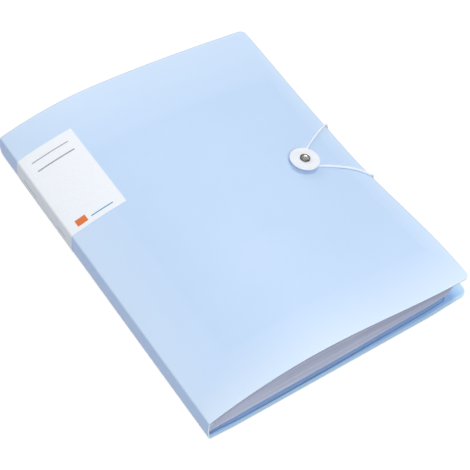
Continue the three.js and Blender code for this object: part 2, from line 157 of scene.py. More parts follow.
# Elastic
CORD = 0.9
CORD_LAYER = 0.97  # its middle's distance from a face that it lies on
CORD_STEP, CORD_SMOOTHING, CORD_SIDES, LOOP_POINTS = 0.3, 4, 16, 25
YARNS, TWIST = 4, 3.3  # yarns each way round it, and how far their pattern turns in a mm
YARN_LOW, YARN_RISE = 0.97, 0.05  # its radius varies by that share of CORD
ANCHOR_X = 223.5
ANCHOR_UP = 0.9  # it ends that far above the inner face of the back cover
STOP_GAP = 0.25  # between its stops and that face
HOLE_BEND, EDGE_BEND = 0.3, 0.6  # radii of its inner side at its hole and at the back cover's edge
HOOKS = (28.7, -34.2)  # where its ends cross the fore edges, from the button's axis
# Its two strands, from the fore edge to the button, in x and y from the button's axis
STRANDS = (
    ((38.4, 28.0), (30.5, 23.8), (21.4, 18.6), (10.2, 11.1)),
    ((39.2, -31.9), (36.2, -27.0), (29.4, -20.2), (18.0, -13.4), (9.1, -9.1)),
)

# Label
LABEL_TAIL, LABEL_HEAD, LABEL_WIDTH = 193.3, 279.1, 48.5
LABEL_UNDER, LABEL_OVER = 0.04, 0.22
LABEL_ROWS, LABEL_COLUMNS = 24, 22
PRINT_OVER = LABEL_OVER + 0.02

# The photograph's camera, fitted to the corners and edges of the book
PHOTO_SIDE = 470  # px
FOCAL, CENTRE = 1702.7, (232.2, 235.2)  # px
CAMERA_AZIMUTH, CAMERA_ELEVATION, CAMERA_ROLL = -33.17, 53.47, 0.43  # degrees
CAMERA_AIM = (111.0, 142.3, HEEL)
CAMERA_DISTANCE = 1.3105  # metres
SENSOR = 36.0

# Light: each lamp's watts, and its size and place in metres
WORLD_STRENGTH = 0.42
LAMPS = {
    "front": (11.4, 0.45, (-0.15, -1.08, 1.3)),
    "key": (5.5, 0.25, (0.72, 0.42, 1.35)),
    "spine": (1.3, 0.5, (-1.05, -0.6, 0.4)),
    "back": (3.2, 0.5, (0.1, 1.05, 0.5)),
}
FLOOR_HALF, FLOOR_Z = 3000.0, -0.1
FLOOR_GLOW, FLOOR_FAINT = 0.93, 0.14  # together they show white, and the second one takes shadow

MM = 0.001
SHIFT = np.array([-BACK_WIDTH / 2, -HEIGHT / 2, 0.0])


def to_row(points):
    return (np.asarray(points, dtype=float) + SHIFT) * MM


def place(x, y, z):
    return tuple(float(v) for v in to_row((x, y, z)))


# Surfaces


def mix(a, b, t):
    return a + (b - a) * t


def ramp(x, a, b):
    t = np.clip((x - a) / (b - a), 0.0, 1.0)
    return t * t * (3 - 2 * t)


def front_top(x, y):
    along = y / HEIGHT
    crest = mix(*CREST, along)
    bulge = mix(*BULGE, along)
    rise = bulge * (1 - (1 - x / crest) ** 2)
    tail = 1 - ramp(y, *TAIL_RAMP)
    head = ramp(y, *HEAD_RAMP)
    edge = EDGE_MIDDLE + (EDGE_TAIL - EDGE_MIDDLE) * tail + (EDGE_HEAD - EDGE_MIDDLE) * head
    t = np.maximum(0.0, (x - crest) / (FRONT_WIDTH - crest))
    fall = mix(t ** mix(FALL_MIDDLE, FALL_HEAD, head), np.sin(math.pi / 2 * t) ** 2, tail)
    return SPINE_TOP + np.where(x <= crest, rise, mix(bulge, edge, fall))


def front_slope(x, y, reach=0.1):
    """Rise of the front cover's outer face per millimetre in x."""
    return (front_top(x + reach, y) - front_top(x - reach, y)) / (2 * reach)


def back_bottom(x, y):
    a, b, c, d = LIFT_ROWS
    bow = HEEL * (1 - ramp(x, 0.0, BOW_NEAR)) + TOE * ramp(x, BOW_FAR, BACK_WIDTH)
    return bow + LIFT * ramp(x, *LIFT_X) * ramp(y, a, b) * (1 - ramp(y, c, d))


def spine_face(z):
    """The bowed spine's outer face: its x at a height."""
    return -SPINE_BOW * (1 - (2 * (z - HEEL) / SPINE - 1) ** 2)


def pressed(x, y):
    """How far the button presses the pockets down."""
    across = np.minimum(1.0, np.abs(x - DIMPLE_X) / DIMPLE_REACH)
    along = np.minimum(1.0, np.abs(y - BUTTON_Y) / DIMPLE_REACH)
    return DIMPLE * (np.cos(math.pi / 2 * across) * np.cos(math.pi / 2 * along)) ** 2


def cling_gap(x, y):
    """Gap at the tail between the lowest pocket and the next one."""
    return (CLING_NEAR + CLING_FAR * ramp(x, *CLING_COLUMNS)) * (1 - ramp(y, *CLING_ROWS))


def share(i):
    return mix(STACK_MARGIN, 1 - STACK_MARGIN, (i + 0.5) / POCKETS)


def root_z(i):
    return mix(HEEL + SHEET, SPINE_TOP - SHEET, share(i))


def rib_end(i):
    return STRIP_FACE + RIB_SHORTEST + RIB_STEP * min(i, POCKETS - 1 - i)


# Materials

PLASTIC_IOR, FILM_IOR, PAPER_IOR = 1.49, 1.5, 1.45
GRAIN = 0.0002  # bump distance of a fine grain, in metres
EDGE_OPACITY = 0.85


def srgb(r, g, b):
    def linear(v):
        v /= 255
        return v / 12.92 if v <= 0.04045 else ((v + 0.055) / 1.055) ** 2.4

    return (linear(r), linear(g), linear(b), 1.0)


class Shader:
    """A material with a Principled shader and helpers for its procedural nodes."""

    def __init__(self, name, **values):
        self.material = bpy.data.materials.new(name)
        self.material.use_nodes = True
        self.nodes = self.material.node_tree.nodes
        self.links = self.material.node_tree.links
        self.shader = self.nodes["Principled BSDF"]
        for key, value in values.items():
            self.shader.inputs[key.replace("_", " ")].default_value = value

    def add(self, kind, **values):
        node = self.nodes.new(kind)
        for key, value in values.items():
            if hasattr(node, key):
                setattr(node, key, value)
            else:
                node.inputs[key.replace("_", " ")].default_value = value
        return node

    def link(self, a, b):
        self.links.new(a, b)

    def net(self):
        """Coordinates on a sheet's net, in metres."""
        return self.add("ShaderNodeUVMap", uv_map="net").outputs["UV"]

    def solid(self):
        """Coordinates in a piece's own space, in metres."""
        return self.add("ShaderNodeTexCoord").outputs["Object"]

    def parted(self, net):
        """The two coordinates on a net: across, which rises to 0 at the fore edge, and along."""
        node = self.add("ShaderNodeSeparateXYZ")
        self.link(net, node.inputs["Vector"])
        return node.outputs["X"], node.outputs["Y"]

    def noise(self, where, scale, detail=2.0, roughness=0.5, stretch=None):
        if stretch:
            mapping = self.add("ShaderNodeMapping")
            mapping.inputs["Scale"].default_value = stretch
            self.link(where, mapping.inputs["Vector"])
            where = mapping.outputs["Vector"]
        node = self.add("ShaderNodeTexNoise", Scale=scale, Detail=detail, Roughness=roughness)
        self.link(where, node.inputs["Vector"])
        return node.outputs["Fac"]

    def shades(self, factor, *stops):
        node = self.add("ShaderNodeValToRGB")
        elements = node.color_ramp.elements
        while len(elements) < len(stops):
            elements.new(0.5)
        for element, (position, color) in zip(elements, stops):
            element.position = position
            element.color = color
        self.link(factor, node.inputs["Fac"])
        return node.outputs["Color"]

    def span(self, factor, low, high, from_low=0.0, from_high=1.0):
        node = self.add("ShaderNodeMapRange")
        sockets = ("From Min", "From Max", "To Min", "To Max")
        for key, value in zip(sockets, (from_low, from_high, low, high)):
            node.inputs[key].default_value = value
        self.link(factor, node.inputs["Value"])
        return node.outputs["Result"]

    def math(self, operation, a, b):
        node = self.add("ShaderNodeMath", operation=operation)
        for socket, value in zip(node.inputs, (a, b)):
            if isinstance(value, (int, float)):
                socket.default_value = value
            else:
                self.link(value, socket)
        return node.outputs["Value"]

    def highest(self, first, *others):
        for other in others:
            first = self.math("MAXIMUM", first, other)
        return first

    def between(self, factor, base, color):
        node = self.add("ShaderNodeMixRGB")
        node.inputs["Color2"].default_value = color
        self.link(factor, node.inputs["Fac"])
        self.link(base, node.inputs["Color1"])
        return node.outputs["Color"]

    def color(self, socket):
        self.link(socket, self.shader.inputs["Base Color"])

    def roughness(self, socket):
        self.link(socket, self.shader.inputs["Roughness"])

    def bump(self, height, strength, distance=GRAIN):
        node = self.add("ShaderNodeBump", Strength=strength, Distance=distance)
        self.link(height, node.inputs["Height"])
        self.link(node.outputs["Normal"], self.shader.inputs["Normal"])


class Frosted(Shader):
    """Finely matted polypropylene: soft clouds, a pearl grain and a little light through it."""

    def __init__(self, name, light, dark, gloss=(0.40, 0.52)):
        super().__init__(name, Subsurface_Weight=0.12, Subsurface_Scale=0.004, IOR=PLASTIC_IOR)
        self.shader.inputs["Subsurface Radius"].default_value = (0.6, 0.8, 1.0)
        self.where = self.net()
        self.cloud = self.noise(self.where, 18.0, 3.0, 0.55)
        self.face = self.shades(self.cloud, (0.3, dark), (0.7, light))
        self.color(self.face)
        self.roughness(self.span(self.noise(self.where, 420.0, 3.0), *gloss))
        self.bump(self.noise(self.where, 2600.0, 2.0, 0.6), 0.06)


def cover_material():
    """A cover's outer face with painted light: paler towards its edges, as if light got in there,
    and paler near the spine crease, where its slope gets less light.

    It has a thin grey painted shade at the fore edge and at the head.
    """
    s = Frosted("cover_sheet", COVER_LIGHT, COVER_DARK)
    from_fore, from_tail = s.parted(s.where)
    head = HEIGHT * MM
    # painted light: paler towards tail, head and fore edge, and near the spine crease
    glow = s.highest(
        s.math("POWER", s.span(from_tail, 1.0, 0.0, 0.0, GLOW_TAIL * MM), GLOW_FADE),
        s.span(from_tail, 0.0, GLOW_WEAK, head - GLOW_HEAD * MM, head),
        s.span(from_fore, 0.0, GLOW_WEAK, -GLOW_FORE * MM, 0.0),
        s.span(from_fore, GLOW_WEAK, 0.0, *(-x * MM for x in GLOW_CREASE)),
    )
    clouds = s.math("MULTIPLY", s.cloud, 1 - GLOW_SHARE)
    tone = s.math("ADD", clouds, s.math("MULTIPLY", glow, GLOW_SHARE))
    face = s.shades(tone, (0.03, COVER_DARK), (0.1, COVER_LIGHT), (1.0, COVER_PAINTED_GLOW))
    # painted shade: a thin grey line along the fore edge and the head
    at_painted_rim = s.highest(
        s.math("GREATER_THAN", from_fore, -PAINTED_RIM_WIDTH * MM),
        s.math("GREATER_THAN", from_tail, head - PAINTED_RIM_WIDTH * MM),
    )
    s.color(s.between(at_painted_rim, face, COVER_RIM_PAINTED_SHADE))
    return s.material


def inside_material():
    """A cover's inner face: a deeper blue, partly the plastic's own tone and partly painted shade
    where the pockets lie over it, and paler close to its edges, painted light as if light got in
    there.
    """
    s = Frosted("cover_inside", INSIDE_LIGHT, INSIDE_DARK)
    from_fore, from_tail = s.parted(s.where)
    # painted light close to the tail, head and fore edge
    light = s.highest(
        s.span(from_tail, 0.0, 1.0, *((HEIGHT - y) * MM for y in INNER_HEAD)),
        s.span(from_tail, 1.0, 0.0, *(y * MM for y in INNER_TAIL)),
        s.span(from_fore, 0.0, 1.0, *(-x * MM for x in INNER_FORE)),
    )
    s.color(s.between(light, s.face, INSIDE_PAINTED_GLOW))
    return s.material


def film_material(name, deep, color, opacity, weld_opacity, edge=None):
    """Soft film: a little milky, with faint waves and a matted weld along tail and fore edge.

    Painted shade: the high pockets are darker than the low ones, and each is darker towards its
    fore edge. Where edge is given, the outermost stretch of the weld at the tail has that colour,
    a painted line of shade.
    """
    s = Shader(name, IOR=FILM_IOR)
    where = s.net()
    across, along = s.parted(where)
    from_tail = s.math("MODULO", along, NET_STEP * MM)
    weld = s.highest(
        s.math("GREATER_THAN", across, -WELD_WIDTH * MM),
        s.math("LESS_THAN", from_tail, (NET_STEP / 2 + WELD_WIDTH) * MM),
    )
    cloud = s.noise(where, 30.0, 3.0)
    batch = s.span(s.noise(where, 4.0, 1.0), 0.0, 1.0, 0.35, 0.65)
    streaks = s.math("MULTIPLY", s.math("ADD", cloud, batch), (1 - FILM_DEPTH_SHADE) / 2)
    # painted shade: darker in the high pockets and towards the fore edge
    depth = s.span(along, FILM_DEPTH_SHADE, 0.0, 0.0, POCKETS * NET_STEP * MM)
    fore = s.span(across, 0.0, -FILM_FORE_SHADE, *(-x * MM for x in FILM_FORE_SHADE_X))
    tone = s.math("ADD", streaks, s.math("ADD", depth, fore))
    face = s.shades(tone, (0.1, deep), (0.85, color))
    alpha = s.span(weld, opacity, weld_opacity)
    if edge:
        # painted shade: a dark line along the weld's outermost stretch at the tail
        at_shaded_edge = s.math("LESS_THAN", from_tail, (NET_STEP / 2 + WELD_EDGE) * MM)
        face = s.between(at_shaded_edge, face, edge)
        alpha = s.highest(alpha, s.math("MULTIPLY", at_shaded_edge, EDGE_OPACITY))
    s.color(face)
    s.roughness(s.span(weld, 0.2, 0.45))
    s.link(alpha, s.shader.inputs["Alpha"])
    waves = s.noise(where, 60.0, 2.0, 0.5, stretch=(1.0, 0.35, 1.0))
    ridges = s.add("ShaderNodeTexWave", Scale=160.0, Distortion=0.0)
    s.link(where, ridges.inputs["Vector"])
    knurl = s.math("MULTIPLY", s.math("MULTIPLY", ridges.outputs["Fac"], weld), 0.25)
    s.bump(s.math("ADD", waves, knurl), 0.25, 3 * GRAIN)
    return s.material


def strip_material():
    s = Shader("strip_plastic", IOR=PLASTIC_IOR, Subsurface_Weight=0.1, Subsurface_Scale=0.002)
    where = s.solid()
    s.color(s.shades(s.noise(where, 60.0), (0.3, srgb(196, 214, 238)), (0.7, srgb(214, 228, 246))))
    s.roughness(s.span(s.noise(where, 900.0), 0.35, 0.5))
    s.bump(s.noise(where, 1500.0), 0.08)
    return s.material


def card_material():
    """Smooth white card with a faint fibre grain."""
    s = Shader("label_card", IOR=PAPER_IOR)
    fibres = s.noise(s.net(), 900.0, 4.0, 0.65, stretch=(1.0, 0.3, 1.0))
    s.color(s.shades(fibres, (0.25, srgb(237, 242, 249)), (0.75, srgb(246, 249, 254))))
    s.roughness(s.span(fibres, 0.5, 0.62))
    s.bump(fibres, 0.08)
    return s.material


def ink_material(name, color, deep):
    s = Shader(name, IOR=PAPER_IOR)
    where = s.solid()
    s.color(s.shades(s.noise(where, 1400.0, 3.0, 0.6), (0.3, deep), (0.7, color)))
    s.roughness(s.span(s.noise(where, 700.0), 0.42, 0.55))
    return s.material


def button_material():
    s = Shader("button_plastic", IOR=PLASTIC_IOR, Subsurface_Weight=0.15, Subsurface_Scale=0.003)
    where = s.solid()
    cloud = s.noise(where, 120.0, 3.0)
    s.color(s.shades(cloud, (0.3, srgb(235, 239, 248)), (0.7, srgb(245, 246, 252))))
    s.roughness(s.span(s.noise(where, 1100.0, 3.0), 0.24, 0.38))
    s.bump(s.noise(where, 1800.0, 2.0), 0.05)
    return s.material


def metal_material(name, deep, color):
    """Nickel plating with an uneven sheen and small dark spots."""
    s = Shader(name, Metallic=1.0)
    where = s.solid()
    spots = s.noise(where, 1300.0, 4.0, 0.7)
    s.color(s.shades(spots, (0.25, deep), (0.6, color)))
    s.roughness(s.span(s.noise(where, 2400.0, 3.0), 0.2, 0.36))
    s.bump(spots, 0.1)
    return s.material


def cord_material():
    """White covered elastic, matt and slightly fuzzy."""
    s = Shader("elastic_yarn", Roughness=0.8, Subsurface_Weight=0.3, Subsurface_Scale=0.002)
    s.shader.inputs["Subsurface Radius"].default_value = (1.0, 1.0, 1.0)
    fibres = s.noise(s.net(), 5000.0, 3.0, 0.7)
    s.color(s.shades(fibres, (0.3, srgb(226, 235, 248)), (0.6, srgb(246, 250, 255))))
    s.bump(fibres, 0.15)
    return s.material


COVER_LIGHT, COVER_DARK = srgb(198, 222, 253), srgb(194, 219, 251)
# the pale tone is painted light at the cover's edges and near its crease; the grey one is painted
# shade along fore edge and head
COVER_PAINTED_GLOW, COVER_RIM_PAINTED_SHADE = srgb(216, 234, 255), srgb(200, 214, 230)
# the inner face's deep blue is partly painted shade where the pockets lie over it; its pale tone is
# painted light near the edges
INSIDE_LIGHT, INSIDE_DARK = srgb(162, 204, 252), srgb(156, 198, 249)
INSIDE_PAINTED_GLOW = srgb(199, 232, 255)
# the films' deep tone is the dark end of their random streaks and their painted shade
FILM_COLORS = (srgb(157, 163, 191), srgb(231, 235, 249))
LOWEST_COLORS = (srgb(168, 192, 226), srgb(196, 214, 240))
# painted shade: a dark line along the lowest pocket's tail
LOWEST_EDGE_SHADE = srgb(108, 142, 192)

COVER = cover_material()
# painted shade: the spine's copy of the cover material, deeper and bluer for the light that reaches
# that side
COVER_SPINE_SHADED = Frosted("cover_spine_painted_shade", srgb(190, 216, 255), srgb(186, 212, 253)).material
COVER_INSIDE = inside_material()
# painted light: the cut edges are near white, as if light came out of them
CUT_PAINTED_LIGHT = Frosted("cover_cut_edge", srgb(244, 250, 255), srgb(236, 245, 255), (0.3, 0.42)).material
# painted shade: the dark line under the front cover's edges at tail and head
CUT_EDGE_PAINTED_SHADE = Frosted("cover_cut_edge_painted_shade", srgb(52, 64, 104), srgb(44, 56, 96)).material
FILM_LOOK = film_material("pocket_film", *FILM_COLORS, 0.8, 1.0)
LOWEST_LOOK = film_material("lowest_pocket_film", *LOWEST_COLORS, 0.12, 0.2, LOWEST_EDGE_SHADE)
STRIP = strip_material()
CARD = card_material()
GREY_INK = ink_material("ink_grey", srgb(158, 161, 168), srgb(140, 143, 151))
ORANGE_INK = ink_material("ink_orange", srgb(232, 128, 66), srgb(222, 112, 52))
BLUE_INK = ink_material("ink_blue", srgb(96, 160, 205), srgb(70, 138, 190))
BUTTON = button_material()
METAL = metal_material("rivet_dish", srgb(166, 164, 160), srgb(208, 206, 201))
# painted reflection: the rivet's rim is darker, as if it mirrored something dark
METAL_RIM_PAINTED_REFLECTION = metal_material("rivet_rim_painted_reflection", srgb(70, 67, 63), srgb(118, 113, 106))
YARN = cord_material()


# Meshes


def make(name, points, faces, looks, indices=None, net=None, sharp=35.0):
    """A piece with smooth faces. Edges are sharp between looks, and beyond sharp degrees."""
    mesh = bpy.data.meshes.new(name)
    mesh.from_pydata([tuple(p) for p in to_row(points)], [], faces)
    for look in looks:
        mesh.materials.append(look)
    if indices is not None:
        mesh.polygons.foreach_set("material_index", indices)
    if net is not None:
        layer = mesh.uv_layers.new(name="net")
        loops = np.empty(len(mesh.loops), dtype=np.int32)
        mesh.loops.foreach_get("vertex_index", loops)
        layer.data.foreach_set("uv", (np.asarray(net) * MM)[loops].ravel())
    bm = bmesh.new()
    bm.from_mesh(mesh)
    bmesh.ops.recalc_face_normals(bm, faces=bm.faces)
    for face in bm.faces:
        face.smooth = True
    for edge in bm.edges:
        if len(edge.link_faces) != 2:
            continue
        a, b = edge.link_faces
        if a.material_index != b.material_index or edge.calc_face_angle() > math.radians(sharp):
            edge.smooth = False
    bm.to_mesh(mesh)
    bm.free()
    piece = bpy.data.objects.new(name, mesh)
    bpy.context.scene.collection.objects.link(piece)
    return piece


def row_of(*values):
    """A row of points from their coordinates, each given point by point or once for the row."""
    return np.stack(np.broadcast_arrays(*values), axis=1)


def net_faces(n, m, base=0, back=False):
    faces = []
    for i in range(n - 1):
        for j in range(m - 1):
            a = base + i * m + j
            face = (a, a + m, a + m + 1, a + 1)
            faces.append(face[::-1] if back else face)
    return faces


def run(points):
    """Distance along the first axis of a net of points, for its net coordinates."""
    steps = np.linalg.norm(np.diff(points, axis=0), axis=2)
    return np.vstack([np.zeros(points.shape[1]), np.cumsum(steps, axis=0)])


FACE_LOOK, CUT_LOOK, INNER_LOOK, SPINE_LOOK, CUT_PAINTED_SHADE_LOOK = range(5)


def slab(name, outer, inner, looks, close=(True, True)):
    """A sheet between two nets of points. Its looks: face, cut edges, inner face and spine.

    Where there is a fifth look, the inner part of a cover's cut edges at tail and head has it, a
    dark painted shade.
    The net's first and last rows get a cut edge where close says so.
    """
    n, m = outer.shape[:2]
    faces = net_faces(n, m) + net_faces(n, m, n * m, True)
    on_spine = outer[:-1, 0, 0] < 0.0
    indices = [SPINE_LOOK if spine else FACE_LOOK for spine in on_spine for _ in range(m - 1)]
    indices += [INNER_LOOK] * ((n - 1) * (m - 1))
    border = [((i, j), (i + 1, j)) for j in (0, m - 1) for i in range(n - 1)]
    border += [((i, j), (i, j + 1))
               for i, wanted in zip((0, n - 1), close) if wanted for j in range(m - 1)]
    points = [*outer.reshape(-1, 3), *inner.reshape(-1, 3)]
    middles = {}
    for spot in sorted({spot for stretch in border for spot in stretch}):
        middles[spot] = len(points)
        points.append(mix(outer[spot], inner[spot], CUT_PAINTED_LIGHT_SHARE))
    for start, end in border:
        a, b = (i * m + j for i, j in (start, end))
        c, d = middles[end], middles[start]
        faces += [(a, b, c, d), (d, c, b + n * m, a + n * m)]
        at_tail_or_head = start[1] == end[1]
        # painted shade on the inner part of the front cover's cut edges at tail and head
        dark = len(looks) > CUT_PAINTED_SHADE_LOOK and at_tail_or_head and outer[start][0] > 0.0
        indices += [CUT_LOOK, CUT_PAINTED_SHADE_LOOK if dark else CUT_LOOK]
    along = run(outer)
    net = np.stack([along - along[-1], np.broadcast_to(outer[0, :, 1], (n, m))], axis=2)
    flat = net.reshape(-1, 2)
    between = [net[spot] for spot in middles]
    return make(name, points, faces, looks, indices, np.concatenate([flat, flat, between]))


def offset(line, distance):
    """A net moved by a distance in x and z: to the left of its way, or right where negative."""
    t = np.gradient(line[:, :, [0, 2]], axis=0)
    t /= np.linalg.norm(t, axis=2, keepdims=True)
    moved = line.copy()
    moved[:, :, 0] -= t[:, :, 1] * distance
    moved[:, :, 2] += t[:, :, 0] * distance
    return moved


def rows_at(x, width, corner):
    """Rows of a cover at x, drawn in round the corners."""
    into = np.clip(x - (width - corner), 0, corner)
    inset = corner - math.sqrt(corner**2 - into**2)
    y = ROWS.copy()
    near = ROWS < ROUND_ROWS
    y[near] = inset + ROWS[near] * (ROUND_ROWS - inset) / ROUND_ROWS
    far = ROWS > HEIGHT - ROUND_ROWS
    y[far] = HEIGHT - inset - (HEIGHT - ROWS[far]) * (ROUND_ROWS - inset) / ROUND_ROWS
    return y


def cover_xs(width, corner):
    at_corner = width - corner * (1 - np.sin(CORNER_TURN))
    return np.concatenate([np.linspace(CREASE, width - corner, COLUMNS), at_corner[1:]])


def crease(y, start_z, corner_z, end_z):
    """Rows of a rounded crease from the spine at start_z to a cover at x CREASE and end_z."""
    rows = []
    for t in np.linspace(0, 1, CREASE_ROWS)[:-1]:
        x = (1 - t) ** 2 * spine_face(start_z) + CREASE * t * t
        z = (1 - t) ** 2 * start_z + 2 * t * (1 - t) * corner_z + t * t * end_z
        rows.append(row_of(x, y, z))
    return rows


def front_line(rows, xs, spine_from):
    """The outer face from the spine round its upper crease and over the front cover."""
    y = rows(0.0)
    start = SPINE_TOP - CREASE
    heights = np.linspace(spine_from, start, SPINE_ROWS)[:-1]
    line = [row_of(spine_face(z), y, z) for z in heights]
    end = front_top(CREASE, y)
    line += crease(y, start, end - CREASE * front_slope(CREASE, y), end)
    line += [row_of(x, rows(x), front_top(x, rows(x))) for x in xs]
    return np.array(line)


def back_line():
    """The outer face from the spine round its lower crease and under the back cover."""
    y = rows_at(0.0, BACK_WIDTH, BACK_CORNER)
    start = HEEL + CREASE
    line = [row_of(spine_face(z), y, z) for z in (JOINT, (JOINT + start) / 2)]
    line += crease(y, start, back_bottom(0.0, y), back_bottom(CREASE, y))
    for x in cover_xs(BACK_WIDTH, BACK_CORNER):
        y = rows_at(x, BACK_WIDTH, BACK_CORNER)
        line.append(row_of(x, y, back_bottom(x, y)))
    return np.array(line)


def cover():
    looks = (COVER, CUT_PAINTED_LIGHT, COVER_INSIDE, COVER_SPINE_SHADED, CUT_EDGE_PAINTED_SHADE)
    outer = front_line(lambda x: rows_at(x, FRONT_WIDTH, FRONT_CORNER),
                       cover_xs(FRONT_WIDTH, FRONT_CORNER), JOINT)
    piece = slab("cover_front_and_spine", outer, offset(outer, -SHEET), looks, (False, True))
    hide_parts("front_cover", "spine_panel")
    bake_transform(piece)
    outer = back_line()
    piece = slab("cover_back", outer, offset(outer, SHEET), looks[:4], (False, True))
    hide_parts("back_cover")
    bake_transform(piece)


def label():
    ys = np.linspace(LABEL_TAIL, LABEL_HEAD, LABEL_ROWS)
    xs = np.linspace(CREASE, LABEL_WIDTH, LABEL_COLUMNS)
    line = front_line(lambda x: ys, xs, HEEL + SHEET)
    piece = slab("label", offset(line, LABEL_OVER), offset(line, LABEL_UNDER), (CARD,) * 4)
    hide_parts("label_front", "label_spine")
    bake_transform(piece)


def print_on_front(name, x_from, x_to, y_from, y_to, look):
    """A printed rectangle on the label's part on the front cover."""
    n, m = 10, 5
    points = []
    for u in np.linspace(0, 1, n):
        for v in np.linspace(0, 1, m):
            x, y = mix(x_from, x_to, u), mix(y_from, y_to, v)
            up = PRINT_OVER / math.cos(math.atan(front_slope(x, y)))
            points.append((x, y, front_top(x, y) + up))
    piece = make(name, points, net_faces(n, m), (look,))
    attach(piece, "front_cover")


def print_on_spine(name, y_from, y_to, z_from, z_to):
    """A printed grey rule on the label's part on the spine."""
    n, m = 6, 3
    points = [(spine_face(z) - PRINT_OVER, y, z)
              for y in np.linspace(y_from, y_to, n) for z in np.linspace(z_from, z_to, m)]
    piece = make(name, points, net_faces(n, m), (GREY_INK,))
    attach(piece, "spine")


def prints():
    print_on_front("label_rule_upper", 8.0, 40.5, 269.0, 269.9, GREY_INK)
    print_on_front("label_rule_lower", 8.2, 41.0, 259.4, 260.6, GREY_INK)
    print_on_front("label_block", 7.9, 16.9, 196.9, 203.0, ORANGE_INK)
    print_on_front("label_line", 20.5, 39.5, 198.1, 199.1, BLUE_INK)
    print_on_spine("spine_rule_head", 248, 268, 11.6, 12.4)
    print_on_spine("spine_rule_tail", 203, 215, 11.6, 12.4)


# Pockets


def pocket_columns(root, edge):
    """Columns of a pocket, which lie close together at its rib and at its weld."""
    return np.concatenate([
        [STRIP_FACE + 0.06], root + ROOT_COLUMNS,
        np.linspace(root + 5, 24, 6),
        np.linspace(26, edge - 4.0, 42),
        edge - FORE_COLUMNS,
    ])


def pocket_rows(i, x, edge, tail_shift, head_shift, phase):
    """Rows of a pocket at x: its ends are a little uneven, and the lowest one has slipped out."""
    y = POCKET_ROWS.copy()
    y[0] += tail_shift + RAGGED * math.sin(x / RAGGED_TURN + phase)
    y[1] += tail_shift * TAIL_FOLLOW
    y[-1] += head_shift
    if i == 0:
        into = max(0.0, x - (edge - LOWEST_CORNER))
        more = LOWEST_MORE * (1 - 2 * ramp(x, *LOWEST_MORE_X))
        inset = LOWEST_CORNER - math.sqrt(LOWEST_CORNER**2 - into**2)
        y[:len(TAIL_ROWS)] += inset - LOWEST_SLIP - more
    return y


def pocket_heights(i, x, y, root, phases):
    """Heights of a pocket's middle at x: its rib's, then its share of the covers' distance."""
    low = back_bottom(x, y) + SHEET + (0 if i == 0 else cling_gap(x, y))
    high = front_top(x, y) - SHEET - pressed(x, y)
    away = ramp(x, root + 0.4, AWAY_X)
    rest = mix(low, high, share(i))
    if i == 0:
        rest = mix(low + LOWEST_OVER, rest, ramp(y, *CLING_ROWS))
    pitch = (high - low) / POCKETS
    slanted_x, slanted_y = SLANTED_TURN
    wave = (np.sin(x / slanted_x + y / slanted_y + phases[0])
            + np.sin(y / ALONG_TURN + phases[1]) + np.sin(x / ACROSS_TURN + phases[2]))
    return mix(root_z(i), rest, away) + WAVE * pitch * wave * away


def film_out(x, y, root, edge):
    """How far a film's middle lies from its pocket's middle: most at the rib, least at the weld."""
    out = mix(RIB_HALF + RIB_CLEAR, FILM, float(ramp(x, root, root + 0.5)))
    if x < root + ROOT_COLUMNS[-1]:
        return out
    from_fore = ramp(edge - x, OPENS_FORE, WELD_WIDTH)
    from_tail = ramp(y - POCKET_TAIL, OPENS_TAIL, WELD_WIDTH)
    return mix(WELD, out, np.minimum(from_fore, from_tail))


def pockets():
    random = np.random.default_rng(SEED)
    for i in range(POCKETS):
        root = rib_end(i)
        edge = mix(*POCKET_EDGES, i / (POCKETS - 1))
        xs = pocket_columns(root, edge)
        phases = random.uniform(0, 2 * math.pi, 5)
        tail_shift = random.uniform(0.0, TAIL_UNEVEN)
        head_shift = random.uniform(-HEAD_UNEVEN, 0.0)
        points, net = [], []
        for side in (-1, 1):
            for x in xs:
                y = pocket_rows(i, x, edge, tail_shift, head_shift, phases[3])
                z = pocket_heights(i, x, y, root, phases)
                points.append(row_of(x, y, z + side * film_out(x, y, root, edge)))
                net.append(row_of(x - edge, POCKET_ROWS - POCKET_TAIL + (i + 0.5) * NET_STEP))
        n, m = len(xs), len(POCKET_ROWS)
        faces = net_faces(n, m) + net_faces(n, m, n * m)
        look = LOWEST_LOOK if i == 0 else FILM_LOOK
        name = "pocket_%02d" % (i + 1)
        piece = make(name, np.concatenate(points), faces, (look,), net=np.concatenate(net))
        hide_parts(name + "_front_film", name + "_back_film")
        z = root_z(i)
        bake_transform(piece)


# Button


def button_frame():
    """The button's place and turn, from its joint."""
    joints = frame["record"]["behaviour"]["joints"]
    joint = next(j for j in joints if j["name"] == "button_spin")
    turn = Vector((0, 0, 1)).rotation_difference(Vector(joint["axis"])).to_matrix()
    return np.array(joint["pos_m"]) / MM - SHIFT, np.array(turn)


def turned(name, profile, looks, at, turn=None, sides=64, second=()):
    """A closed ring, or a solid where the profile begins and ends on the axis.

    The stretches of the profile that start at the radii and heights in second have the second look.
    """
    angles = np.linspace(0, 2 * math.pi, sides, endpoint=False)
    solid = profile[0][0] == 0 and profile[-1][0] == 0
    rings = profile[1:-1] if solid else profile
    points = [(r * math.cos(a), r * math.sin(a), z) for r, z in rings for a in angles]
    faces, indices = [], []
    count = len(rings)
    for k in range(count if not solid else count - 1):
        for s in range(sides):
            e = (s + 1) % sides
            low, high = k * sides, ((k + 1) % count) * sides
            faces.append((low + s, low + e, high + e, high + s))
            indices.append(1 if rings[k] in second else 0)
    if solid:
        for end, ring_at in ((profile[0], 0), (profile[-1], count - 1)):
            points.append((0.0, 0.0, end[1]))
            middle = len(points) - 1
            for s in range(sides):
                faces.append((middle, ring_at * sides + s, ring_at * sides + (s + 1) % sides))
    indices += [0] * (len(faces) - len(indices))
    points = np.array(points)
    if turn is not None:
        points = points @ turn.T
    return make(name, points + at, faces, looks, indices, sharp=40.0)


